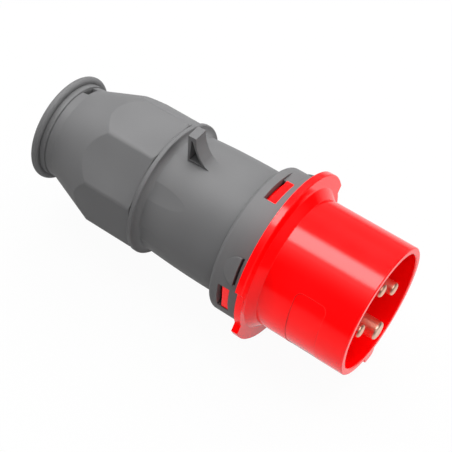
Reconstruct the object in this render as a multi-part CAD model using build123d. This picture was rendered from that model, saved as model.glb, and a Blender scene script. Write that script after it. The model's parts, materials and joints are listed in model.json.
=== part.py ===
from build123d import *
import math
import os

# Four-pole 16 A industrial pin and sleeve plug with a screw-on cable gland.
# Millimetres. +X is the plug's axis and points at the mating connector, +Z is
# twelve o'clock. The origin is the middle of the shroud's mouth.

# Contacts of the 16 A, three phases and earth, interface
pitch_radius = 10.97
phase_pin_radius = 2.5
earth_pin_radius = 3.5
phase_tip_setback = 1.0
earth_tip_lead = 1.0
pin_tip_round = 1.0
shank_step = 0.6

# Shroud, the red sleeve round the pins
shroud_radius = 25.0
shroud_wall = 2.55
shroud_straight = 34.5
mouth_chamfer = 0.35
key_reach = 5.0
key_width = 6.2
key_nose = 2.8
key_setback = 0.3
key_lead_in = 0.5

# Marking field, a shallow recess moulded in the shroud's left side
field_depth = 0.22
field_rear = 22.7
field_front = 10.9
field_half_angle = 36.5
field_corner = 2.2

# Flange with a notch on each side
flange_rise = 8.0
flange_thickness = 2.6
flange_edge = 0.3
cone_length = 2.9
cone_rise = 3.0
notch_depth = 2.7
notch_floor_angle = 15.7
notch_wall_angle = 59.0

# Contact carrier behind the shroud's floor
floor_depth = 37.0
floor_thickness = 6.0
skirt_length = 11.2
skirt_wall = 2.2
hub_radius = 4.6
latch_slot = 0.8
latch_width = 11.9
barb_height = 2.2
barb_length = 2.9
barb_ramp = 1.0

# Terminal block behind the floor, with a chamber round each terminal
block_core_radius = 8.0
chamber_wall = 1.6
chamber_length = 21.0

# Brass terminals behind the pins
barrel_radius = 5.0
barrel_length = 22.0
wire_bore_radius = 2.4
wire_bore_depth = 14.0
screw_station = 7.0
screw_radius = 2.0
screw_head_radius = 2.7
screw_head_height = 1.8
screw_slot_width = 0.8
screw_slot_depth = 0.9
plate_thickness = 0.6
plate_width = 2.8
plate_length = 10.0
plate_drop = 1.2
plate_tab_rise = 4.2

# Retainer plate that closes the terminal chambers
retainer_thickness = 2.5
retainer_boss_length = 1.1
wire_entry_radius = 4.0
hub_screw_radius = 1.5
hub_screw_head_radius = 2.9
hub_screw_head_height = 2.0
hub_screw_length = 11.0

# Front ring of the grey housing
ring_wall = 3.0
ring_length = 12.6
ring_rear_fillet = 1.6
window_length = 4.7
window_width = 12.2
window_front = 4.0
side_window_tilt = 1.0
top_window_tilt = 4.5
lead_in_tilt = 13.0
lead_in_depth = 1.15
pad_angle = 28.3
pad_round = 5.3
pad_height = 1.2
pad_strip = 3.2
pad_strip_height = 0.35
pad_slit_width = 0.7
pad_slit_depth = 1.3

# Barrel of the housing, its collar and its threaded rear spigot
barrel_front_radius = 24.35
barrel_mid_radius = 24.0
barrel_rear_radius = 23.1
housing_barrel = 35.4
straight_part = 8.0
facet_rear_reach = 22.85
facet_angle = 4.4
collar_radius = 26.5
collar_width = 1.8
collar_fillet = 0.5
collar_foot_radius = 2.7
cavity_radius = 21.2
web_setback = 4.0
web_length = 3.0
web_bore_radius = 15.0
spigot_radius = 22.1
spigot_bore_radius = 18.2
spigot_length = 20.2
spigot_land = 3.6
spigot_chamfer = 0.5
thread_depth = 0.8

# Lid catch fin on top of the barrel
fin_width = 5.6
fin_height = 11.85
fin_front = 25.4
fin_rear = 28.6
fin_foot = 20.3
fin_bow = 1.1
fin_foot_radius = 5.0
fin_wall = 0.85
pocket_top_height = 9.95
pocket_middle_height = 6.15
pocket_floor_height = 0.5
pocket_top_rear = 27.3
pocket_top_front = 26.7
pocket_middle = 25.5
pocket_foot = 22.5

# Seals
ring_seal_radius = 0.7
cap_seal_radius = 0.6
seal_groove_floor = 0.05
seal_groove_side = 0.1

# Cable clamp inside the gland
cage_base_length = 4.0
cage_finger_length = 21.5
cage_finger_radius = 15.0
cage_bore_radius = 11.8
cage_slot_width = 1.6
cage_finger_count = 8
cage_cone_length = 4.0
cage_cone_drop = 2.0
grommet_flange = 2.0
grommet_bore_radius = 6.5
grommet_tail = 0.5
thrust_ring_radius = 20.0
thrust_ring_front = 4.0
thrust_ring_rear = 5.0

# Gland cap, the octagonal screw cap round the cable
cap_length = 49.5
cap_flat_reach = 24.65
cap_sides = 8
cap_edge_fillet = 2.6
cap_corner_radius = 26.6
cap_prism_length = 20.0
cap_cone_length = 21.0
cap_cone_end_radius = 18.9
neck_radius = 18.6
neck_band_radius = 19.0
neck_band_length = 5.1
cap_front_chamfer = 0.5
bead_radius = 1.45
rim_radius = 21.3
throat_radius = 13.0
throat_length = 3.0
mouth_radius = 17.2
lip_fillet = 0.8
neck_slot_angle = 69.0
neck_slot_width = 5.8
neck_slot_length = 2.4
neck_slot_setback = 6.6

# Fits
slip = 0.1
easy = 0.2
thread_gap = 0.3
collar_gap = 0.2
face_gap = 0.3
bite = 0.5

# Stations along the axis, from the mouth at 0 towards the cable
crease = -shroud_straight
flange_front = crease - cone_length
flange_rear = flange_front - flange_thickness
floor_front = -floor_depth
floor_rear = floor_front - floor_thickness
skirt_rear = flange_rear - skirt_length
barrel_seat = floor_front - floor_thickness / 2
barrel_rear = barrel_seat - barrel_length
chamber_rear = floor_rear - chamber_length
retainer_rear = chamber_rear - retainer_thickness
ring_rear = flange_rear - ring_length
window_fore = flange_rear - window_front
window_aft = window_fore - window_length
collar_front = ring_rear - housing_barrel
collar_rear = collar_front - collar_width
web_front = collar_front + web_setback
web_rear = web_front - web_length
land_rear = collar_rear - spigot_land
spigot_rear = collar_rear - spigot_length
cap_front = collar_rear - collar_gap
cap_rear = cap_front - cap_length
cage_front = web_rear - grommet_flange
cage_root = cage_front - cage_base_length
cage_tip = cage_root - cage_finger_length
cage_cone_start = cage_tip + cage_cone_length
thrust_front = cage_cone_start - face_gap
thrust_mid = thrust_front - thrust_ring_front
thrust_seat = thrust_mid - thrust_ring_rear
cap_cone_front = cap_front - cap_prism_length
cap_cone_rear = cap_cone_front - cap_cone_length

# Radii and reaches that follow from the above
shroud_bore = shroud_radius - shroud_wall
flange_radius = shroud_radius + flange_rise
notch_radius = flange_radius - notch_depth
chamber_bore = barrel_radius + slip
chamber_radius = chamber_bore + chamber_wall
skirt_radius = shroud_radius + face_gap
ring_bore = skirt_radius + easy
ring_radius = ring_bore + ring_wall
lead_in_reach = ring_radius - lead_in_depth
fin_top = barrel_mid_radius + fin_height
cap_thread_bore = spigot_radius + thread_gap
cap_ring_bore = thrust_ring_radius + easy
cage_radius = spigot_bore_radius - easy
grommet_radius = cage_bore_radius - face_gap
screw_x = barrel_rear + screw_station

TOP, LEFT, BOTTOM, RIGHT = 90.0, 180.0, 270.0, 0.0
CONTACTS = {
    "l1": (LEFT, phase_pin_radius, -phase_tip_setback),
    "l2": (TOP, phase_pin_radius, -phase_tip_setback),
    "l3": (RIGHT, phase_pin_radius, -phase_tip_setback),
    "earth": (BOTTOM, earth_pin_radius, earth_tip_lead),
}
WINDOW_ANGLES = {
    "left": LEFT + side_window_tilt,
    "right": RIGHT - side_window_tilt,
    "top": TOP - top_window_tilt,
    "bottom": BOTTOM - top_window_tilt,
}


def turn(shape, angle):
    """Turns a shape made at twelve o'clock to an angle about +X, from +Y."""
    return Rot(angle - TOP, 0, 0) * shape


def turned(*outline):
    """Revolves an outline of (x, radius) points, or of edges, about the axis."""
    if isinstance(outline[0], tuple):
        outline = Polyline(*outline, close=True)
    return revolve(Plane.XZ * make_face(outline), Axis.X, 360)


def tube(x_front, x_rear, outer, inner):
    """A plain tube on the axis between two stations."""
    return turned((x_front, inner), (x_front, outer), (x_rear, outer), (x_rear, inner))


def rod(x_front, x_rear, radius, y=0.0, z=0.0):
    """A round rod along X between two stations."""
    disc = Plane(origin=(x_rear, y, z), x_dir=(0, 1, 0), z_dir=(1, 0, 0)) * Circle(radius)
    return extrude(disc, x_front - x_rear)


def block(x_front, x_rear, width, low, high):
    """A block across Y, between two stations along X and two heights."""
    size = Box(x_front - x_rear, width, high - low)
    return Pos((x_front + x_rear) / 2, 0, (high + low) / 2) * size


def upright(x, radius, low, high):
    """A round rod along Z at one station, between two heights."""
    return Pos(x, 0, (high + low) / 2) * Cylinder(radius, high - low)


def flange_outline():
    """The flange seen from the front, with a concentric notch on each side."""
    floor_end = math.radians(notch_floor_angle)
    slant = math.radians(notch_wall_angle)
    inner = (notch_radius * math.cos(floor_end), notch_radius * math.sin(floor_end))
    reach = flange_radius - notch_radius + flange_radius * math.sin(floor_end)
    outer = (inner[0] + reach * math.cos(slant), inner[1] + reach * math.sin(slant))
    corners = [inner, outer, (outer[0], -outer[1]), (inner[0], -inner[1])]
    notch = make_face(Polyline(*corners, close=True)) - Circle(notch_radius)
    return Circle(flange_radius) - notch - mirror(notch, Plane.YZ)


def flange():
    """The flange disc with its softened front edge."""
    face = Plane(origin=(flange_rear, 0, 0), x_dir=(0, 1, 0), z_dir=(1, 0, 0))
    disc = extrude(face * (flange_outline() - Circle(shroud_bore)), flange_thickness)
    rim = disc.edges().group_by(Axis.X)[-1].filter_by(lambda edge: edge.length > shroud_radius)
    return chamfer(rim.filter_by(lambda edge: edge.radius > notch_radius), flange_edge)


def shroud():
    """The sleeve with its cone, key and marking field."""
    cone_radius = shroud_radius + cone_rise
    sleeve = turned(
        (-mouth_chamfer, shroud_radius),
        (crease, shroud_radius),
        (flange_front, cone_radius),
        (flange_rear, cone_radius),
        (flange_rear, shroud_bore),
        (-mouth_chamfer, shroud_bore),
        (0, shroud_bore + mouth_chamfer),
        (0, shroud_radius - mouth_chamfer),
    )
    reach = shroud_radius + key_reach
    root = shroud_radius - shroud_wall / 2
    profile = Polyline(
        (-key_setback - key_lead_in, reach),
        (flange_front, reach),
        (flange_front, root),
        (-key_setback, root),
        (-key_setback, reach - key_lead_in),
        close=True,
    )
    key = extrude(Plane.XZ * make_face(profile), key_width / 2, both=True)
    key = fillet(key.edges().filter_by(Axis.X).group_by(Axis.Z)[-1], key_nose)
    return sleeve + turn(key, BOTTOM) - marking_field()


def marking_field():
    """The thin bent slab that is cut away for the marking field."""
    half_height = shroud_radius * math.sin(math.radians(field_half_angle))
    outline = RectangleRounded(field_rear - field_front, 2 * half_height, field_corner)
    middle = -(field_rear + field_front) / 2
    prism = extrude(Pos(middle, 0, 0) * Plane.XZ * outline, 2 * shroud_radius)
    shell = tube(0, crease, shroud_radius + field_depth, shroud_radius - field_depth)
    return prism & shell


def contact_carrier():
    """Floor, skirt and hub, moulded with the shroud."""
    body = rod(floor_front, floor_rear, skirt_radius - skirt_wall / 2)
    body += tube(flange_rear, skirt_rear, skirt_radius, skirt_radius - skirt_wall)
    groove_floor = ring_bore - 2 * ring_seal_radius - seal_groove_floor
    groove = ring_seal_radius + seal_groove_side
    seal_middle = flange_rear - 2 * groove
    body -= tube(seal_middle + groove, seal_middle - groove, ring_bore, groove_floor)
    body += rod(floor_rear, chamber_rear, hub_radius)
    for angle, pin_radius, _ in CONTACTS.values():
        shank_hole = pin_radius + shank_step + slip
        body -= turn(rod(barrel_seat, floor_rear, chamber_bore, z=pitch_radius), angle)
        body -= turn(rod(floor_front, barrel_seat, shank_hole, z=pitch_radius), angle)
    pilot = rod(chamber_rear + hub_screw_length, chamber_rear, hub_screw_radius + slip)
    return body - pilot


def terminal_block():
    """The moulding that slides over the barrels and the hub, behind the floor."""
    body = rod(floor_rear, chamber_rear, block_core_radius)
    for angle in (TOP, LEFT, BOTTOM, RIGHT):
        body += turn(rod(floor_rear, chamber_rear, chamber_radius, z=pitch_radius), angle)
    for angle in (TOP, LEFT, BOTTOM, RIGHT):
        access = upright(
            screw_x, screw_head_radius + easy, pitch_radius, pitch_radius + 2 * barrel_radius
        )
        body -= turn(rod(floor_rear, chamber_rear, chamber_bore, z=pitch_radius), angle)
        body -= turn(access, angle)
    return body - rod(floor_rear, chamber_rear, hub_radius + slip)


def latch_tongue():
    """The barb that snaps into a window, at twelve o'clock."""
    front = window_fore - easy
    rear = front - barb_length
    barb = Polyline(
        (front, skirt_radius - skirt_wall / 2),
        (front, skirt_radius + barb_height),
        (rear, skirt_radius + barb_height),
        (rear - barb_ramp, skirt_radius),
        (rear - barb_ramp, skirt_radius - skirt_wall / 2),
        close=True,
    )
    return extrude(Plane.XZ * make_face(barb), latch_width / 2, both=True)


def shroud_insert():
    """The red moulding: shroud, flange, carrier and four latch tongues."""
    body = shroud() + flange() + contact_carrier()
    slot_middle = (latch_width + latch_slot) / 2
    for angle in WINDOW_ANGLES.values():
        body += turn(latch_tongue(), angle)
        for side in (-1, 1):
            slot = block(window_fore, skirt_rear, latch_slot, cavity_radius, ring_radius)
            body -= turn(Pos(0, side * slot_middle, 0) * slot, angle)
    return body


def contact_pin(pin_radius, tip):
    """A brass pin with its terminal barrel, at twelve o'clock."""
    pin = fillet(rod(tip, floor_front, pin_radius).edges().group_by(Axis.X)[-1], pin_tip_round)
    pin += rod(floor_front, barrel_seat, pin_radius + shank_step)
    barrel = rod(barrel_seat, barrel_rear, barrel_radius)
    barrel = chamfer(barrel.edges().group_by(Axis.X)[0], slip + easy)
    wire_bore = rod(barrel_rear + wire_bore_depth, barrel_rear, wire_bore_radius)
    screw_hole = upright(screw_x, screw_radius + slip, 0, barrel_radius)
    return Pos(0, 0, pitch_radius) * (pin + barrel - wire_bore - screw_hole)


def terminal_screw():
    """A slotted clamping screw, standing on the wire plate."""
    seat = plate_drop + plate_thickness
    head_low = barrel_radius + slip
    head_high = head_low + screw_head_height
    screw = upright(screw_x, screw_radius, seat, head_low)
    screw += upright(screw_x, screw_head_radius, head_low, head_high)
    slot = block(
        screw_x + screw_head_radius,
        screw_x - screw_head_radius,
        screw_slot_width,
        head_high - screw_slot_depth,
        head_high,
    )
    return Pos(0, 0, pitch_radius) * (screw - slot)


def wire_plate():
    """The bent plate between the screw and the wire, hooked over the barrel's end."""
    tongue = block(
        barrel_rear + plate_length,
        barrel_rear - plate_thickness,
        plate_width,
        plate_drop,
        plate_drop + plate_thickness,
    )
    tab = block(barrel_rear, barrel_rear - plate_thickness, plate_width, plate_drop, plate_tab_rise)
    return Pos(0, 0, pitch_radius) * (tongue + tab)


def retainer_plate():
    """The cover of the terminal chambers, with a boss and a wire entry for each."""
    rim = pitch_radius + chamber_radius
    plate = rod(chamber_rear, retainer_rear, rim)
    plate = chamfer(plate.edges(), slip + easy)
    for angle, _, _ in CONTACTS.values():
        boss_front = chamber_rear + retainer_boss_length
        boss = rod(boss_front, chamber_rear, barrel_radius, z=pitch_radius)
        entry = rod(boss_front, retainer_rear, wire_entry_radius, z=pitch_radius)
        plate = plate + turn(boss, angle) - turn(entry, angle)
    return plate - rod(chamber_rear, retainer_rear, hub_screw_radius + easy)


def retainer_screw():
    """The slotted screw that holds the retainer plate on the hub."""
    head_rear = retainer_rear - hub_screw_head_height
    tip = retainer_rear + hub_screw_length
    screw = rod(tip, retainer_rear, hub_screw_radius)
    head = chamfer(
        rod(retainer_rear, head_rear, hub_screw_head_radius).edges().group_by(Axis.X)[0], slip
    )
    slot = block(
        head_rear + screw_slot_depth,
        head_rear,
        screw_slot_width,
        -hub_screw_head_radius,
        hub_screw_head_radius,
    )
    return screw + head - slot


def ring_seal(x, radius, section):
    """A round seal ring on the axis."""
    return revolve(Plane.XZ * Pos(x, radius) * Circle(section), Axis.X, 360)


def barrel_outside():
    """The housing's barrel, bowed towards the collar, with eight faint facets."""
    bow_start = ring_rear - straight_part
    bow_middle = (bow_start + collar_front) / 2
    barrel = turned(
        Line((ring_rear, 0), (ring_rear, barrel_front_radius)),
        Line((ring_rear, barrel_front_radius), (bow_start, barrel_front_radius)),
        ThreePointArc(
            (bow_start, barrel_front_radius),
            (bow_middle, barrel_mid_radius),
            (collar_front, barrel_rear_radius),
        ),
        Line((collar_front, barrel_rear_radius), (collar_front, 0)),
        Line((collar_front, 0), (ring_rear, 0)),
    )
    octagon = RegularPolygon(facet_rear_reach, cap_sides, major_radius=False, rotation=180 / cap_sides)
    section = Plane(origin=(collar_front, 0, 0), x_dir=(0, 1, 0), z_dir=(1, 0, 0)) * octagon
    return barrel & extrude(section, housing_barrel, taper=-facet_angle)


def fin():
    """The lid catch: a hooked fin whose front runs out on the barrel."""
    rear = ring_rear - fin_rear
    front = ring_rear - fin_front
    foot = ring_rear - fin_foot
    base = barrel_mid_radius - easy
    run_out = foot + fin_foot_radius
    root = cavity_radius + fin_wall
    middle = ((front + foot) / 2 - fin_bow, (fin_top + barrel_mid_radius) / 2 - fin_bow)
    outline = make_face(
        [
            Line((rear, root), (rear, fin_top)),
            Line((rear, fin_top), (front, fin_top)),
            ThreePointArc((front, fin_top), middle, (foot, base)),
            Line((foot, base), (run_out, base)),
            Line((run_out, base), (run_out, root)),
            Line((run_out, root), (rear, root)),
        ]
    )
    heel = outline.vertices().sort_by_distance((foot, base, 0))[0]
    outline = fillet(heel, fin_foot_radius)
    return extrude(Plane.XZ * outline, fin_width / 2, both=True) - fin_pocket()


def fin_pocket():
    """The fin's hollow, open on its left side and narrow at its top."""
    top = barrel_mid_radius + pocket_top_height
    floor = barrel_mid_radius + pocket_floor_height
    rear = ring_rear - fin_rear + fin_wall
    top_rear = (ring_rear - pocket_top_rear, top)
    top_front = (ring_rear - pocket_top_front, top)
    middle = (ring_rear - pocket_middle, barrel_mid_radius + pocket_middle_height)
    foot = (ring_rear - pocket_foot, floor)
    outline = make_face(
        [
            Line((rear, floor), top_rear),
            Line(top_rear, top_front),
            ThreePointArc(top_front, middle, foot),
            Line(foot, (rear, floor)),
        ]
    )
    pocket = extrude(Plane.XZ * outline, fin_width / 2, both=True)
    return Pos(0, -fin_wall, 0) * pocket


def thumb_pad():
    """A half-round ramp on the ring above three o'clock, with a slit and a low strip in front."""
    step = flange_rear - pad_strip
    low = ring_radius - pad_height
    profile = Polyline(
        (step, low),
        (step, ring_radius + pad_height),
        (step - pad_round, ring_radius),
        (step - pad_round, low),
        close=True,
    )
    span = 2 * math.degrees(math.asin(pad_round / ring_radius))
    ramp = revolve(Plane.XZ * make_face(profile), Axis.X, 2 * span)
    ramp = turn(ramp, TOP - span)
    plan = Pos(step, 0, ring_radius) * Cylinder(pad_round, ring_radius)
    return turn(ramp & plan, pad_angle)


def pad_band(x_front, x_rear, outer, inner):
    """A piece of tube as long as the thumb pad round the ring."""
    wedge = block(x_front, x_rear, 2 * pad_round, 0, outer)
    return turn(tube(x_front, x_rear, outer, inner) & wedge, pad_angle)


def ring_outside():
    """The front ring's outside, with two thumb pads."""
    ring = rod(flange_rear, ring_rear, ring_radius)
    ring = fillet(ring.edges().group_by(Axis.X)[0], ring_rear_fillet)
    step = flange_rear - pad_strip
    strip = pad_band(flange_rear, step, ring_radius + pad_strip_height, ring_radius - pad_height)
    slit = pad_band(step + pad_slit_width, step, flange_radius, ring_radius - pad_slit_depth)
    pad = thumb_pad() + strip
    return ring + pad + mirror(pad, Plane.XZ) - slit - mirror(slit, Plane.XZ)


def window(angle):
    """A latch window through the ring."""
    cut = block(window_fore, window_aft, window_width, cavity_radius, ring_radius + pad_height)
    return turn(cut, angle)


def lead_in(angle):
    """A shallow flat beside a window, where a screwdriver slides in."""
    cut = block(window_fore, window_aft, ring_radius, lead_in_reach, ring_radius + pad_height)
    return turn(cut, angle)


def housing():
    """The grey housing: ring, barrel, fin, collar and threaded spigot."""
    collar = rod(collar_front, collar_rear, collar_radius)
    collar = fillet(collar.edges(), collar_fillet) + collar_foot()
    body = ring_outside() + barrel_outside() + fin() + collar
    thread_core = rod(land_rear, spigot_rear, spigot_radius - thread_depth)
    body += rod(collar_rear, land_rear, spigot_radius)
    body += chamfer(thread_core.edges().group_by(Axis.X)[0], spigot_chamfer)
    body -= rod(flange_rear, skirt_rear - face_gap, ring_bore)
    body -= rod(flange_rear, web_front, cavity_radius)
    body -= rod(web_front, web_rear, web_bore_radius)
    body -= rod(web_rear, spigot_rear, spigot_bore_radius)
    for angle in WINDOW_ANGLES.values():
        body -= window(angle)
    body -= lead_in(TOP - lead_in_tilt) + lead_in(BOTTOM - lead_in_tilt)
    groove_floor = spigot_radius - 2 * cap_seal_radius
    groove = cap_seal_radius + seal_groove_side
    middle = collar_rear - 2 * groove
    return body - tube(middle + groove, middle - groove, spigot_radius + slip, groove_floor)


def collar_foot():
    """The hollow round between the barrel and the collar's front face."""
    inner = cavity_radius + collar_fillet
    low = (barrel_rear_radius + facet_rear_reach) / 2
    high = low + collar_foot_radius
    middle = collar_front + collar_foot_radius
    return turned(
        Line((collar_front, inner), (collar_front, high)),
        CenterArc((middle, high), collar_foot_radius, 180, 90),
        Line((middle, low), (middle, inner)),
        Line((middle, inner), (collar_front, inner)),
    )


def claw_cage():
    """The clamp: a base ring and eight fingers with coned tips."""
    tip_radius = cage_finger_radius - cage_cone_drop
    body = turned(
        (cage_front, cage_bore_radius),
        (cage_front, cage_radius),
        (cage_root, cage_radius),
        (cage_root, cage_finger_radius),
        (cage_cone_start, cage_finger_radius),
        (cage_tip, tip_radius),
        (cage_tip, cage_bore_radius),
    )
    slot = block(cage_root, cage_tip, cage_slot_width, 0, cage_radius)
    for finger in range(cage_finger_count):
        body -= turn(slot, finger * 360 / cage_finger_count)
    return body


def cable_grommet():
    """The rubber sleeve round the cable, with a flange against the web."""
    tail = cage_tip - grommet_tail
    return turned(
        (web_rear, grommet_bore_radius),
        (web_rear, cage_radius),
        (cage_front, cage_radius),
        (cage_front, grommet_radius),
        (tail + grommet_tail, grommet_radius),
        (tail, grommet_radius - grommet_tail),
        (tail, grommet_bore_radius),
    )


def thrust_ring():
    """The ring between the cap and the claws, with a cone for their tips."""
    wide = cage_finger_radius + face_gap
    narrow = wide - cage_cone_drop
    return turned(
        (thrust_front, wide),
        (thrust_front, spigot_bore_radius),
        (thrust_mid, thrust_ring_radius),
        (thrust_seat, thrust_ring_radius),
        (thrust_seat, narrow),
        (thrust_front - cage_cone_length, narrow),
    )


def cap_outside():
    """The cap's outside: octagonal prism, cone, neck and rear bead."""
    bead_x = cap_rear + bead_radius
    bead_middle = rim_radius - bead_radius
    rise = neck_band_radius - bead_middle
    band_front = cap_rear + neck_band_length
    start = math.degrees(math.asin(rise / bead_radius))
    bead_front = bead_x + math.sqrt(bead_radius**2 - rise**2)
    chamfer_radius = cap_corner_radius - cap_front_chamfer
    spun = turned(
        Polyline(
            (cap_rear, bead_middle),
            (cap_rear, 0),
            (cap_front, 0),
            (cap_front, chamfer_radius),
            (cap_front - cap_front_chamfer, cap_corner_radius),
            (cap_cone_front, cap_corner_radius),
            (cap_cone_rear, cap_cone_end_radius),
            (band_front, neck_radius),
            (band_front, neck_band_radius),
            (bead_front, neck_band_radius),
        ),
        CenterArc((bead_x, bead_middle), bead_radius, start, 180 - start),
    )
    octagon = RegularPolygon(cap_flat_reach, cap_sides, major_radius=False, rotation=180 / cap_sides)
    octagon = fillet(octagon.vertices(), cap_edge_fillet)
    section = Plane(origin=(cap_rear, 0, 0), x_dir=(0, 1, 0), z_dir=(1, 0, 0)) * octagon
    return spun & extrude(section, cap_length)


def gland_cap():
    """The screw cap: thread bore, ring seat, throat and flared mouth."""
    thread_end = spigot_rear - face_gap - bite
    throat_end = thrust_seat - throat_length
    inside = turned(
        (cap_front, 0),
        (cap_front, cap_thread_bore),
        (thread_end, cap_thread_bore),
        (thread_end, cap_ring_bore),
        (thrust_seat, cap_ring_bore),
        (thrust_seat, throat_radius),
        (throat_end, throat_radius),
        (cap_rear, mouth_radius),
        (cap_rear, 0),
    )
    cap = cap_outside() - inside
    lip = cap.edges().filter_by(GeomType.CIRCLE).group_by(Axis.X)[0].sort_by(SortBy.RADIUS)[0]
    cap = fillet(lip, lip_fillet)
    slot_front = cap_rear + neck_slot_setback + neck_slot_length / 2
    slot = block(slot_front, slot_front - neck_slot_length, neck_slot_width, 0, rim_radius)
    return cap - turn(slot, neck_slot_angle)


def parts():
    """Every node of the plug by name."""
    seal_x = flange_rear - 2 * (ring_seal_radius + seal_groove_side)
    cap_seal_x = collar_rear - 2 * (cap_seal_radius + seal_groove_side)
    nodes = {
        "shroud_insert": shroud_insert(),
        "terminal_block": terminal_block(),
        "retainer_plate": retainer_plate(),
        "retainer_screw": retainer_screw(),
        "insert_seal": ring_seal(seal_x, ring_bore - ring_seal_radius - slip / 2, ring_seal_radius),
        "housing": housing(),
        "cap_seal": ring_seal(cap_seal_x, spigot_radius - cap_seal_radius + slip, cap_seal_radius),
        "claw_cage": claw_cage(),
        "cable_grommet": cable_grommet(),
        "thrust_ring": thrust_ring(),
        "gland_cap": gland_cap(),
    }
    for name, (angle, pin_radius, tip) in CONTACTS.items():
        nodes["pin_" + name] = turn(contact_pin(pin_radius, tip), angle)
        nodes["terminal_screw_" + name] = turn(terminal_screw(), angle)
        nodes["wire_plate_" + name] = turn(wire_plate(), angle)
    return nodes


os.makedirs("parts", exist_ok=True)
for node, shape in parts().items():
    shape.label = node
    export_step(shape, f"parts/{node}.step")
    print(node, len(shape.solids()), round(shape.volume))
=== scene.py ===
# %% [markdown]
# # An industrial pin and sleeve plug
#
# The plug has a glossy red moulding in front, which is shroud, key and flange in one, and a
# satin grey housing behind it. An octagonal cap screws onto the housing and clamps the cable.
# Four brass contacts stand inside the shroud.
#
# The shapes come from the CAD frame. This lesson gives them their finishes and lights them as
# a small product shot. It starts by loading the frame and noting its size.

# %% Load the frame
import json
import math

import bpy
from mathutils import Matrix, Vector


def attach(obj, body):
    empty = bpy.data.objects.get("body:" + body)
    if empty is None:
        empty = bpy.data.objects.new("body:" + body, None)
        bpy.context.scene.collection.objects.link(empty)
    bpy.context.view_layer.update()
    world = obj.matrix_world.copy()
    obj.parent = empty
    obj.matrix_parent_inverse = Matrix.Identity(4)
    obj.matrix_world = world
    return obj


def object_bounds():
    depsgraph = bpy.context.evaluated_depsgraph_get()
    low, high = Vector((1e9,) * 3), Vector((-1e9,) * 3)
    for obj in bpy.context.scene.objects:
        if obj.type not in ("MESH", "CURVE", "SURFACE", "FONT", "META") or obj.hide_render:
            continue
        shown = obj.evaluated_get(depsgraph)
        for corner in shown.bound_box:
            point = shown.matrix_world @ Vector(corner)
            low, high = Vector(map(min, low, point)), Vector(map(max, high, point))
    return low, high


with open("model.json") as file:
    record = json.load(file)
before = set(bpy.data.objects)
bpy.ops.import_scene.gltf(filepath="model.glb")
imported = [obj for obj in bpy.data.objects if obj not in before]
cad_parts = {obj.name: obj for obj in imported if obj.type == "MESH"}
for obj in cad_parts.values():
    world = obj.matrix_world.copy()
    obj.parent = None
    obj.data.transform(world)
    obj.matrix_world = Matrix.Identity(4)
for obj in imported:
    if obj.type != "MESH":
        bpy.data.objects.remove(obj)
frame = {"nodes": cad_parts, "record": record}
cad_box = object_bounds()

print("CAD nodes:", len(frame["nodes"]))
print("CAD box in mm:", [[round(1000 * v, 1) for v in corner] for corner in cad_box])

# %% [markdown]
# ## Camera
#
# The photograph was taken from the front left and from above, with a longish lens, so the
# circles of the plug stay nearly the same size from end to end. The place and the turn below
# were worked out from the outlines of those circles. A camera looks down its own -Z, so the
# turn is made of three: about the vertical, down from the horizon, and a little roll.

# %% Camera
CAMERA_PLACE = (0.07912, -0.22862, 0.32971)
CAMERA_HEADING = 32.24
CAMERA_ELEVATION = 50.93
CAMERA_ROLL = 4.66
SENSOR_WIDTH = 36.0
LENS_LENGTH = 94.83
NEAREST_SEEN = 0.01

camera_data = bpy.data.cameras.new("camera")
camera_data.sensor_width = SENSOR_WIDTH
camera_data.lens = LENS_LENGTH
camera_data.clip_start = NEAREST_SEEN
camera = bpy.data.objects.new("camera", camera_data)
bpy.context.collection.objects.link(camera)
heading = Matrix.Rotation(math.radians(CAMERA_HEADING), 4, "Z")
tilt = Matrix.Rotation(math.radians(90 - CAMERA_ELEVATION), 4, "X")
roll = Matrix.Rotation(math.radians(CAMERA_ROLL), 4, "Z")
camera.matrix_world = Matrix.Translation(CAMERA_PLACE) @ heading @ tilt @ roll
bpy.context.scene.camera = camera
bpy.context.scene.view_settings.view_transform = "Standard"
print("camera looks along", [round(v, 3) for v in -camera.matrix_world.col[2].xyz])

# %% [markdown]
# ## Nodes in few words
#
# Every finish below is a small node tree. A few helpers keep them readable: one adds a node and
# sets its values, and the others are the three nodes that come back all the time. Math does a
# sum, Map Range stretches a range of values onto another, and Mix blends two colours.

# %% Node helpers
def add_node(tree, kind, inputs=None, **settings):
    """Adds a node, sets its properties, and sets or links its inputs."""
    node = tree.nodes.new(kind)
    for name, value in settings.items():
        setattr(node, name, value)
    for name, value in (inputs or {}).items():
        if isinstance(value, bpy.types.NodeSocket):
            tree.links.new(value, node.inputs[name])
        else:
            node.inputs[name].default_value = value
    return node


def maths(tree, operation, first, second=0.0):
    """One sum of two values."""
    node = add_node(tree, "ShaderNodeMath", {0: first, 1: second}, operation=operation)
    return node.outputs[0]


def stretch(tree, value, low, high, to_low=0.0, to_high=1.0, **settings):
    """Maps low to to_low and high to to_high, and holds still beyond both."""
    ends = {"From Min": low, "From Max": high, "To Min": to_low, "To Max": to_high}
    node = add_node(tree, "ShaderNodeMapRange", {"Value": value, **ends}, **settings)
    return node.outputs["Result"]


def mix(tree, factor, first, second):
    """Blends two colours, from the first at 0 to the second at 1."""
    inputs = {"Factor": factor, "A": first, "B": second}
    return add_node(tree, "ShaderNodeMix", inputs, data_type="RGBA").outputs["Result"]


print("node helpers ready")

# %% [markdown]
# ## Groups
#
# An effect that several finishes share is a node group: it is built once, and each material
# places it with its own values. A group hands out only patterns, such as a height or a mask.
# The shader itself stays in each material.

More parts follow.
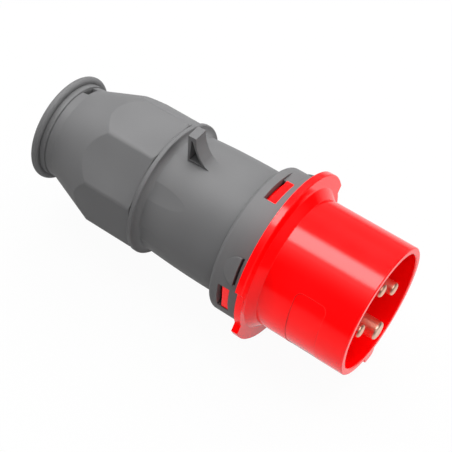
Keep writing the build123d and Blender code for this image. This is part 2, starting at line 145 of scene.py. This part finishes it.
# %% Group helpers
def new_group(name, inputs, outputs):
    """Starts a node group. Returns its tree, its input sockets and its output node."""
    tree = bpy.data.node_groups.new(name, "ShaderNodeTree")
    for socket, value in inputs.items():
        item = tree.interface.new_socket(socket, in_out="INPUT", socket_type="NodeSocketFloat")
        item.default_value = value
    for socket, kind in outputs.items():
        tree.interface.new_socket(socket, in_out="OUTPUT", socket_type="NodeSocket" + kind)
    source = tree.nodes.new("NodeGroupInput")
    return tree, source.outputs, tree.nodes.new("NodeGroupOutput")


def use_group(tree, group, **values):
    """Places a group in a material. Returns its outputs."""
    node = add_node(tree, "ShaderNodeGroup", node_tree=group)
    for name, value in values.items():
        node.inputs[name.replace("_", " ").capitalize()].default_value = value
    return node.outputs


print("group helpers ready")

# %% [markdown]
# ## Moulded skin
#
# An injection mould is spark eroded or polished, and its skin prints on the plastic: a fine
# grain, with a slow waviness where the melt shrank and a faint cloudiness in its colour. The
# same effect serves the satin housing and the glossy shroud, with other strengths. It could
# be painted, but noise in object space needs no picture and has no seams.

# %% Group: moulded skin
def make_skin_group():
    """Grain and slow waves as a height, and the waves alone as a cloud."""
    tree, inputs, out = new_group(
        "Moulded skin",
        {"Grain size": 0.0004, "Wave size": 0.012, "Grain share": 0.5},
        {"Height": "Float", "Cloud": "Float"},
    )
    place = add_node(tree, "ShaderNodeTexCoord").outputs["Object"]
    patterns = {}
    for size, detail in (("Grain size", 2.0), ("Wave size", 0.0)):
        scale = maths(tree, "DIVIDE", 1.0, inputs[size])
        noise = {"Vector": place, "Scale": scale, "Detail": detail}
        patterns[size] = add_node(tree, "ShaderNodeTexNoise", noise).outputs["Fac"]
    share = inputs["Grain share"]
    fine = maths(tree, "MULTIPLY", patterns["Grain size"], share)
    slow = maths(tree, "MULTIPLY", patterns["Wave size"], maths(tree, "SUBTRACT", 1.0, share))
    tree.links.new(maths(tree, "ADD", fine, slow), out.inputs["Height"])
    tree.links.new(patterns["Wave size"], out.inputs["Cloud"])
    return tree


skin_group = make_skin_group()
print("group", skin_group.name)

# %% [markdown]
# ## Soft edge
#
# No moulded edge is knife sharp. The large radii are in the CAD solids. The last tenths of a
# millimetre, which catch a thin line of light, come from the Bevel node: it turns the normal
# near an edge without adding faces. Where the turned normal leaves the true one, there is an
# edge, and that difference is the mask for paler rims: a highlight and a little wear painted
# into the colour.

# %% Group: soft edge
FULL_EDGE_GAP = 0.12


def make_edge_group():
    """A normal that rounds the edges, and a mask of where they are."""
    tree, inputs, out = new_group(
        "Soft edge", {"Radius": 0.0002}, {"Normal": "Vector", "Edge": "Float"}
    )
    bevel = add_node(tree, "ShaderNodeBevel", {"Radius": inputs["Radius"]}, samples=4)
    rounded = bevel.outputs["Normal"]
    true_normal = add_node(tree, "ShaderNodeNewGeometry").outputs["Normal"]
    agree = add_node(
        tree, "ShaderNodeVectorMath", {0: rounded, 1: true_normal}, operation="DOT_PRODUCT"
    )
    gap = maths(tree, "SUBTRACT", 1.0, agree.outputs["Value"])
    tree.links.new(rounded, out.inputs["Normal"])
    tree.links.new(stretch(tree, gap, 0.0, FULL_EDGE_GAP), out.inputs["Edge"])
    return tree


edge_group = make_edge_group()
print("group", edge_group.name)

# %% [markdown]
# ## Crevice shade
#
# A slit, a recess line and the foot of a wall look darker than their colour, because little
# light gets in. The lamps give part of that shade, and this group paints the rest into the
# colour: the Ambient Occlusion node measures how open a point is, over a reach of a millimetre
# or less, and that gives a mask of painted shade to darken the colour with.

# %% Group: crevice shade
OPEN_ENOUGH = 0.85
FULLY_SHADED = 0.20


def make_crevice_group():
    """A mask of painted shade: 0 on open faces and 1 far inside a slit."""
    tree, inputs, out = new_group("Crevice shade", {"Reach": 0.001}, {"Shade": "Float"})
    reach = {"Distance": inputs["Reach"]}
    openness = add_node(tree, "ShaderNodeAmbientOcclusion", reach, samples=8).outputs["AO"]
    shade = stretch(tree, openness, OPEN_ENOUGH, FULLY_SHADED)
    tree.links.new(shade, out.inputs["Shade"])
    return tree


crevice_group = make_crevice_group()
print("group", crevice_group.name)

# %% [markdown]
# ## Turning marks
#
# The contacts are turned from brass rod, so the tool leaves fine rings across their length.
# All four lie along X, so the rings are bands in X alone. A wave texture would be too even: a
# noise in X alone gives lines of uneven depth, as a real feed does. A much slower noise gives
# the broad bands that a worn tool leaves.

# %% Group: turning marks
BAND_SLOWNESS = 0.07


def make_turning_group():
    """Fine rings as a height, and broad bands as a streak."""
    tree, inputs, out = new_group(
        "Turning marks", {"Pitch": 0.0002}, {"Height": "Float", "Streak": "Float"}
    )
    place = add_node(tree, "ShaderNodeTexCoord").outputs["Object"]
    parts = add_node(tree, "ShaderNodeSeparateXYZ", {"Vector": place}).outputs
    along = maths(tree, "DIVIDE", parts["X"], inputs["Pitch"])
    slow = maths(tree, "MULTIPLY", along, BAND_SLOWNESS)
    for output, line, detail in (("Height", along, 2.0), ("Streak", slow, 1.0)):
        noise = {"W": line, "Scale": 1.0, "Detail": detail}
        rings = add_node(tree, "ShaderNodeTexNoise", noise, noise_dimensions="1D")
        tree.links.new(rings.outputs["Fac"], out.inputs[output])
    return tree


turning_group = make_turning_group()
print("group", turning_group.name)

# %% [markdown]
# ## One shader for each finish
#
# Each material keeps its own Principled shader. Its normal is built in two layers: the Bevel's
# rounded normal goes into a Bump node, which adds the fine height on top, so that an edge can be
# round and grained at once.

# %% Material helpers
def new_material(name):
    """An empty material with its Principled shader. Returns material, tree and shader."""
    material = bpy.data.materials.new(name)
    material.use_nodes = True
    tree = material.node_tree
    return material, tree, tree.nodes["Principled BSDF"]


def add_relief(tree, shader, height, depth, rounded):
    """Presses a height into the rounded normal, depth metres deep."""
    inputs = {"Strength": 1.0, "Distance": depth, "Height": height, "Normal": rounded}
    bump = add_node(tree, "ShaderNodeBump", inputs)
    tree.links.new(bump.outputs["Normal"], shader.inputs["Normal"])


print("material helpers ready")

# %% [markdown]
# ## Plastics
#
# The red moulding is a glossy polyamide in signal red, and the housing a satin grey one with a
# fine grain. Both follow one recipe: cloudiness shifts the colour a little, the edge mask pales
# the rims with a painted highlight and a little wear, the crevice mask paints shade into slits
# and recess lines, and grain and waviness are the relief. Roughness follows the cloud, so that
# highlights break up slightly.

# %% Plastic recipe
CLOUD_RANGE = (0.2, 0.8)
RIM_STRENGTH = 0.6


def make_plastic(
    name, dark, pale, rim_highlight_and_wear, painted_shade, rough, grain, depth, edge_radius, share=0.5, reach=0.001, shine=0.5
):
    """A moulded plastic. dark and pale bound its colour; its edges get a painted highlight
    with a little wear, and its crevices painted shade.
    """
    material, tree, shader = new_material(name)
    shader.inputs["Specular IOR Level"].default_value = shine
    skin = use_group(tree, skin_group, grain_size=grain, grain_share=share)
    edge = use_group(tree, edge_group, radius=edge_radius)
    crevice = use_group(tree, crevice_group, reach=reach)
    cloud = stretch(tree, skin["Cloud"], *CLOUD_RANGE)
    body = mix(tree, cloud, (*dark, 1), (*pale, 1))
    # Painted highlight, with a little wear: the edge mask pales the colour along the rims.
    highlight_and_wear_share = maths(tree, "MULTIPLY", edge["Edge"], RIM_STRENGTH)
    with_rim_highlight = mix(tree, highlight_and_wear_share, body, (*rim_highlight_and_wear, 1))
    # Painted shade: the crevice mask darkens the colour in slits, recess lines and wall feet.
    shaded = mix(tree, crevice["Shade"], with_rim_highlight, (*painted_shade, 1))
    tree.links.new(shaded, shader.inputs["Base Color"])
    roughness = stretch(tree, skin["Cloud"], *CLOUD_RANGE, *rough)
    tree.links.new(roughness, shader.inputs["Roughness"])
    add_relief(tree, shader, skin["Height"], depth, edge["Normal"])
    return material


print("plastic recipe ready")

# %% [markdown]
# The shroud's red is as pure as plastic gets, so almost nothing but gloss pales it, besides a
# pink highlight painted along its rims. Its skin is polished: hardly any grain, and waves only
# a few thousandths of a millimetre high.

# %% Red plastic
red_plastic = make_plastic(
    "red_plastic",
    dark=(0.95, 0.0006, 0.0012),
    pale=(1.00, 0.0009, 0.0018),
    # The pink rim colour paints a highlight on the edges; the near black paints recess shade.
    rim_highlight_and_wear=(1.00, 0.05, 0.05),
    painted_shade=(0.03, 0.0, 0.0),
    rough=(0.09, 0.12),
    grain=0.0006,
    depth=0.000004,
    edge_radius=0.0002,
    share=0.3,
    reach=0.0006,
)
print("finish", red_plastic.name)

# %% [markdown]
# The grey is the same kind of plastic from an eroded mould. It gets less shine than the red, as
# a grained skin has. The screw cap, which is handled most, has rounder edges than the housing;
# its crevices get lighter painted shade, and its rims hardly any painted highlight.

# %% Grey plastics
GREY_SKIN = {
    "dark": (0.116, 0.116, 0.118),
    "pale": (0.126, 0.126, 0.128),
    "rough": (0.52, 0.60),
    "grain": 0.00035,
    "depth": 0.00003,
    "share": 0.75,
    "shine": 0.35,
}
grey_plastic = make_plastic(
    "grey_plastic",
    # A paler rim paints a faint highlight and wear; the dark grey paints shade into slits.
    rim_highlight_and_wear=(0.14, 0.14, 0.142),
    painted_shade=(0.03, 0.03, 0.03),
    edge_radius=0.0003,
    reach=0.0012,
    **GREY_SKIN,
)
cap_plastic = make_plastic(
    "cap_plastic",
    # The rim colour is barely paler; the grey paints a lighter shade into the cap's crevices.
    rim_highlight_and_wear=(0.124, 0.124, 0.126),
    painted_shade=(0.08, 0.08, 0.08),
    edge_radius=0.0010,
    reach=0.0005,
    **GREY_SKIN,
)
print("finishes", grey_plastic.name, cap_plastic.name)

# %% [markdown]
# Terminal block, retainer, claws and thrust ring are unpainted nylon, an off-white that looks a
# little warm. They show only through the cable entry, or when the plug is taken apart.

# %% Pale plastic
pale_plastic = make_plastic(
    "pale_plastic",
    dark=(0.50, 0.50, 0.47),
    pale=(0.58, 0.58, 0.55),
    # The paler rim paints highlight and wear; the dark grey paints shade into crevices.
    rim_highlight_and_wear=(0.66, 0.66, 0.63),
    painted_shade=(0.20, 0.20, 0.18),
    rough=(0.40, 0.50),
    grain=0.0004,
    depth=0.00003,
    edge_radius=0.0002,
)
print("finish", pale_plastic.name)

# %% [markdown]
# ## Rubber
#
# The seals and the cable sleeve are black rubber with a dry, dusty skin. Rubber is moulded too,
# so it follows the same recipe, only dark and dull.

# %% Rubber
black_rubber = make_plastic(
    "black_rubber",
    dark=(0.020, 0.020, 0.021),
    pale=(0.034, 0.034, 0.035),
    # The grey rim paints highlight and wear; the near black paints shade into crevices.
    rim_highlight_and_wear=(0.05, 0.05, 0.05),
    painted_shade=(0.008, 0.008, 0.008),
    rough=(0.62, 0.75),
    grain=0.0003,
    depth=0.00003,
    edge_radius=0.0002,
)
print("finish", black_rubber.name)

# %% [markdown]
# ## Metals
#
# The contacts are plain turned brass, a pale coppery yellow with a satin shine. The screws and
# clamping plates are zinc plated steel. The bands shift colour and roughness together, because
# a band that the tool left rougher also looks paler.

# %% Metal recipe
STREAK_RANGE = (0.3, 0.7)
METAL_EDGE_RADIUS = 0.0001


def make_metal(name, dark, pale, rough, pitch, depth):
    """A turned metal: ring marks in its height, slow bands in colour and roughness."""
    material, tree, shader = new_material(name)
    shader.inputs["Metallic"].default_value = 1.0
    marks = use_group(tree, turning_group, pitch=pitch)
    edge = use_group(tree, edge_group, radius=METAL_EDGE_RADIUS)
    streak = stretch(tree, marks["Streak"], *STREAK_RANGE)
    colour = mix(tree, streak, (*dark, 1), (*pale, 1))
    tree.links.new(colour, shader.inputs["Base Color"])
    roughness = stretch(tree, marks["Streak"], *STREAK_RANGE, *rough)
    tree.links.new(roughness, shader.inputs["Roughness"])
    add_relief(tree, shader, marks["Height"], depth, edge["Normal"])
    return material


print("metal recipe ready")

# %% Brass and steel
contact_brass = make_metal(
    "contact_brass",
    dark=(1.00, 0.59, 0.42),
    pale=(1.00, 0.69, 0.54),
    rough=(0.38, 0.46),
    pitch=0.00018,
    depth=0.000003,
)
screw_steel = make_metal(
    "screw_steel",
    dark=(0.52, 0.53, 0.55),
    pale=(0.66, 0.67, 0.68),
    rough=(0.28, 0.40),
    pitch=0.00025,
    depth=0.00001,
)
print("finishes", contact_brass.name, screw_steel.name)

# %% [markdown]
# ## Dressing the frame
#
# Every CAD node already knows its material slot from the record. A table from slot to finish
# is all that is needed, so no node can be forgotten. Only the cap has a finish of its own.

# %% Finishes on the nodes
FINISHES = {
    "red_plastic": red_plastic,
    "grey_plastic": grey_plastic,
    "pale_plastic": pale_plastic,
    "contact_brass": contact_brass,
    "screw_steel": screw_steel,
    "black_rubber": black_rubber,
}
OWN_FINISH = {"gland_cap": cap_plastic}
slot_of = {part["node"]: part["material_slot"] for part in frame["record"]["subparts"]}
for name, node in frame["nodes"].items():
    for slot in node.material_slots:
        slot.material = OWN_FINISH.get(name, FINISHES[slot_of[name]])
print("dressed", len(frame["nodes"]), "nodes")

# %% [markdown]
# ## The cap's thread
#
# The cap screws onto the housing's spigot with a coarse trapezoidal thread of 3 mm lead. The
# solids leave room for it. A ridge is one profile carried round a helix while it moves along
# the axis: that is easier to get right in mesh code than with a Screw modifier, because both
# ends can fade out as a moulded thread does.

# %% Thread helper
THREAD_LEAD = 0.003
STEPS_PER_TURN = 72
FADE_STEPS = 24
LEAST_HEIGHT = 0.02
FOOT_REACH = 0.5
CREST_REACH = 0.22


def thread_ridge(name, start_x, end_x, root, crest, width):
    """A right-hand ridge about the X axis, from root radius to crest radius."""
    steps = int((start_x - end_x) / THREAD_LEAD * STEPS_PER_TURN)
    vertices, faces = [], []
    for step in range(steps + 1):
        angle = 2 * math.pi * step / STEPS_PER_TURN
        middle = start_x - THREAD_LEAD * step / STEPS_PER_TURN
        fade = min(1.0, step / FADE_STEPS, (steps - step) / FADE_STEPS)
        top = root + (crest - root) * max(fade, LEAST_HEIGHT)
        for along, radius in (
            (FOOT_REACH, root), (CREST_REACH, top), (-CREST_REACH, top), (-FOOT_REACH, root)
        ):
            y, z = radius * math.cos(angle), radius * math.sin(angle)
            vertices.append((middle + along * width, y, z))
    for step in range(steps):
        low, high = 4 * step, 4 * step + 4
        for corner in range(4):
            other = (corner + 1) % 4
            faces.append((low + corner, low + other, high + other, high + corner))
    faces.append((3, 2, 1, 0))
    faces.append(tuple(4 * steps + corner for corner in range(4)))
    mesh = bpy.data.meshes.new(name)
    mesh.from_pydata(vertices, [], faces)
    mesh.validate()
    ridge = bpy.data.objects.new(name, mesh)
    bpy.context.collection.objects.link(ridge)
    return ridge


print("steps in a turn:", STEPS_PER_TURN)

# %% [markdown]
# The ridge starts behind the collar and ends before the spigot's edge. Its foot goes a tenth of
# a millimetre into the spigot, so that no gap shows under it.

# %% Outer thread on the spigot
THREAD_START, THREAD_END = -0.0950, -0.1085
THREAD_ROOT = 0.0212
THREAD_CREST = 0.0220
THREAD_WIDTH = 0.0019

spigot_thread = thread_ridge(
    "spigot_thread", THREAD_START, THREAD_END, THREAD_ROOT, THREAD_CREST, THREAD_WIDTH
)
spigot_thread.data.materials.append(grey_plastic)
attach(spigot_thread, "plug_body")
print("spigot thread faces:", len(spigot_thread.data.polygons))

# %% [markdown]
# ## What the backdrop shows to whom
#
# The photograph is a cut-out on white. Floor and world show themselves to the camera, to
# mirrors and to glass, and the Light Path node tells those rays from the ones that only carry
# light. Two small helpers serve both: that mask, and a curve through a few levels.

# %% Backdrop helpers
def backdrop_rays(tree):
    """The mask of rays that see the backdrop, and of the mirrored ones among them."""
    paths = add_node(tree, "ShaderNodeLightPath").outputs
    seen = maths(tree, "MAXIMUM", paths["Is Camera Ray"], paths["Is Glossy Ray"])
    return maths(tree, "MAXIMUM", seen, paths["Is Transmission Ray"]), paths["Is Glossy Ray"]


def level_curve(tree, value, levels):
    """A curve through a few (value, level) pairs, with straight runs between them."""
    low, high = levels[0][0], levels[-1][0]
    node = add_node(tree, "ShaderNodeValToRGB", {"Fac": stretch(tree, value, low, high)})
    stops = node.color_ramp.elements
    while len(stops) < len(levels):
        stops.new(0.5)
    for stop, (position, level) in zip(stops, levels):
        stop.position = (position - low) / (high - low)
        stop.color = (level, level, level, 1)
    return node.outputs["Color"]


WHITE = (1, 1, 1, 1)
print("backdrop helpers ready")

# %% [markdown]
# ## Floor
#
# The floor shows white to the camera and keeps a breath of the plug's shadow. Its mirror image
# on the gloss is another matter: in the photograph it is white close to the plug and fades
# towards the dark ends of the room. A white floor all the way would veil the red in pink, so
# the level that reflections see is a curve across the floor.

# %% Floor sheet
FLOOR_GAP = 0.0002
FLOOR_HEIGHT = cad_box[0][2] - FLOOR_GAP
FLOOR_HALF = 3.0

floor_mesh = bpy.data.meshes.new("floor")
floor_corners = [
    (FLOOR_HALF * x, FLOOR_HALF * y, FLOOR_HEIGHT) for x, y in ((-1, -1), (1, -1), (1, 1), (-1, 1))
]
floor_mesh.from_pydata(floor_corners, [], [(0, 1, 2, 3)])
floor = bpy.data.objects.new("floor", floor_mesh)
bpy.context.collection.objects.link(floor)
print("floor at", round(1000 * FLOOR_HEIGHT, 2), "mm")

# %% Floor material
SHADOW_SHARE = 0.04
FLOOR_GREY = (0.5, 0.5, 0.5, 1)
MIRRORED_FLOOR = (
    (-0.5, 0.05),
    (-0.106, 0.30),
    (-0.048, 0.42),
    (-0.026, 0.62),
    (0.02, 0.95),
    (0.055, 0.74),
    (0.13, 0.74),
    (0.37, 0.22),
    (0.7, 0.14),
)

floor_material = bpy.data.materials.new("floor_white")
floor_material.use_nodes = True
tree = floor_material.node_tree
tree.nodes.remove(tree.nodes["Principled BSDF"])
seen, mirrored = backdrop_rays(tree)
place = add_node(tree, "ShaderNodeNewGeometry").outputs["Position"]
across = add_node(tree, "ShaderNodeSeparateXYZ", {"Vector": place}).outputs["Y"]
level = mix(tree, mirrored, WHITE, level_curve(tree, across, MIRRORED_FLOOR))
diffuse = add_node(tree, "ShaderNodeBsdfDiffuse", {"Color": FLOOR_GREY})
glow = add_node(tree, "ShaderNodeEmission", {"Color": level, "Strength": 1.0})
share = maths(tree, "MULTIPLY", seen, 1 - SHADOW_SHARE)
mixed = add_node(
    tree, "ShaderNodeMixShader", {"Fac": share, 1: diffuse.outputs[0], 2: glow.outputs[0]}
)
tree.links.new(mixed.outputs[0], tree.nodes["Material Output"].inputs["Surface"])
floor_mesh.materials.append(floor_material)
print("levels on the mirrored floor:", len(MIRRORED_FLOOR))

# %% [markdown]
# ## World
#
# The room around gives a weak even fill from all sides. A camera, a mirror or glass looks at the
# white backdrop instead, so the world has two strengths, and the mask picks one.

# %% World
FILL = 0.40

world = bpy.data.worlds.new("studio")
bpy.context.scene.world = world
world.use_nodes = True
tree = world.node_tree
tree.nodes.clear()
seen = backdrop_rays(tree)[0]
white = add_node(tree, "ShaderNodeBackground", {"Color": WHITE, "Strength": 1.0})
fill = add_node(tree, "ShaderNodeBackground", {"Color": WHITE, "Strength": FILL})
mixed = add_node(
    tree, "ShaderNodeMixShader", {"Fac": seen, 1: fill.outputs[0], 2: white.outputs[0]}
)
add_node(tree, "ShaderNodeOutputWorld", {"Surface": mixed.outputs[0]})
print("fill", FILL)

# %% [markdown]
# ## Lamps
#
# A long soft box hangs above the plug and in line with it. It draws the one soft streak along
# the shroud. Its glow falls off towards its edges, because a lamp of even brightness would give
# the streak hard borders. The Parametric output runs from 0 to 1 over the lamp's face, and the
# falloff is made from it.

# %% Soft falloff
SOFT_SHARE = 0.25


def soften(lamp_data):
    """Lets a lamp's glow fall off towards all four edges."""
    lamp_data.use_nodes = True
    tree = lamp_data.node_tree
    spot = add_node(tree, "ShaderNodeNewGeometry").outputs["Parametric"]
    parts = add_node(tree, "ShaderNodeSeparateXYZ", {"Vector": spot}).outputs
    fall = 1.0
    for axis in ("X", "Y"):
        away = maths(tree, "ABSOLUTE", maths(tree, "SUBTRACT", parts[axis], 0.5))
        side = stretch(tree, away, 0.5, 0.5 - SOFT_SHARE, interpolation_type="SMOOTHSTEP")
        fall = maths(tree, "MULTIPLY", side, fall)
    glow = add_node(tree, "ShaderNodeEmission", {"Strength": fall})
    tree.links.new(glow.outputs[0], tree.nodes["Light Output"].inputs["Surface"])


print("falloff over a share of", SOFT_SHARE)

# %% [markdown]
# The other lamps only fill: they light the colour, and stay out of the reflections.

# %% Lamps
LIT_POINT = Vector((-0.06, 0, 0))


def soft_lamp(name, direction, distance, size, level, mirrored=False):
    """A soft box that looks at the plug. level is its brightness, where 1 is white."""
    lamp_data = bpy.data.lights.new(name, "AREA")
    lamp_data.shape = "RECTANGLE"
    lamp_data.size, lamp_data.size_y = size
    lamp_data.energy = level * math.pi * size[0] * size[1]
    soften(lamp_data)
    lamp = bpy.data.objects.new(name, lamp_data)
    bpy.context.collection.objects.link(lamp)
    back = Vector(direction).normalized()
    across = back.cross(Vector((1, 0, 0))).normalized()
    turn = Matrix((across.cross(back), across, back)).transposed().to_4x4()
    lamp.matrix_world = Matrix.Translation(LIT_POINT + back * distance) @ turn
    lamp.visible_glossy = mirrored
    return lamp


soft_lamp("overhead", (-0.30, 0.02, 0.94), 1.0, (1.8, 0.55), 5.6, mirrored=True)
soft_lamp("rear", (0.0, 0.65, 0.75), 1.2, (1.8, 1.2), 4.8)
soft_lamp("front", (0.45, -0.60, 0.68), 1.2, (1.0, 1.0), 1.6)
soft_lamp("end", (0.85, 0.35, 0.45), 1.2, (1.2, 1.2), 2.2)
red_fill = soft_lamp("red_fill", (-0.70, -0.70, 0.0), 1.2, (1.0, 1.4), 4.6)
brass_light = soft_lamp("brass_light", (0.75, -0.20, 0.65), 1.2, (0.9, 0.9), 2.0, mirrored=True)

# %% [markdown]
# The last two each have one finish to light. The red pieces glow evenly down to their underside
# in the photograph, and the brass needs something bright to mirror, deep in the shroud as it
# is. Light linking gives a lamp its own list of pieces.

# %% Lamps for one finish
def light_only(lamp, slot):
    """Lets a lamp reach only the pieces of one material slot."""
    parts = bpy.data.collections.new("lit_" + slot)
    for name, node in frame["nodes"].items():
        if slot_of[name] == slot:
            parts.objects.link(node)
    lamp.light_linking.receiver_collection = parts


light_only(red_fill, "red_plastic")
light_only(brass_light, "contact_brass")

# %% [markdown]
# ## Cards
#
# Gloss shows what stands around, so a product shot has cards beside the set. A dark one in
# front keeps the shroud's near side a deep red, and a grey one behind dims the far side. Dark
# ones at the end and at the corner do the same for the flange and its cone. Each is a plain
# sheet whose brightness is a curve over its height, and only reflections show it.

# %% Card helper
CARD_GAP = 0.001
UNSEEN_BY = ("camera", "diffuse", "transmission", "volume_scatter", "shadow")


def card(name, foot, height, levels):
    """A card that stands on a line of the floor. levels gives its brightness by height."""
    low = FLOOR_HEIGHT + CARD_GAP
    (x0, y0), (x1, y1) = foot
    corners = [(x0, y0, low), (x1, y1, low), (x1, y1, low + height), (x0, y0, low + height)]
    mesh = bpy.data.meshes.new(name)
    mesh.from_pydata(corners, [], [(0, 1, 2, 3)])
    panel = bpy.data.objects.new(name, mesh)
    bpy.context.collection.objects.link(panel)
    for ray in UNSEEN_BY:
        setattr(panel, "visible_" + ray, False)
    material = bpy.data.materials.new(name)
    material.use_nodes = True
    tree = material.node_tree
    tree.nodes.remove(tree.nodes["Principled BSDF"])
    place = add_node(tree, "ShaderNodeNewGeometry").outputs["Position"]
    height_here = add_node(tree, "ShaderNodeSeparateXYZ", {"Vector": place}).outputs["Z"]
    glow = add_node(tree, "ShaderNodeEmission", {"Color": level_curve(tree, height_here, levels)})
    tree.links.new(glow.outputs[0], tree.nodes["Material Output"].inputs["Surface"])
    mesh.materials.append(material)


print("card helper ready")

# %% Cards
card("front_card", ((-2, -1), (2, -1)), 2.6, ((0.0, 0.02), (0.8, 0.02), (1.3, 0.15), (2.2, 0.6)))
card("rear_card", ((-2, 1), (0.25, 1)), 3.2, ((0.0, 0.32), (0.7, 0.30), (1.5, 0.05), (3.2, 0.40)))
card("corner_card", ((0.25, 1), (2, 1)), 3.2, ((0.0, 0.02), (0.8, 0.02), (1.5, 0.05), (3.2, 0.40)))
card("end_card", ((0.9, -1), (0.9, 0.9)), 1.1, ((0.0, 0.02), (0.8, 0.02), (1.1, 0.3)))
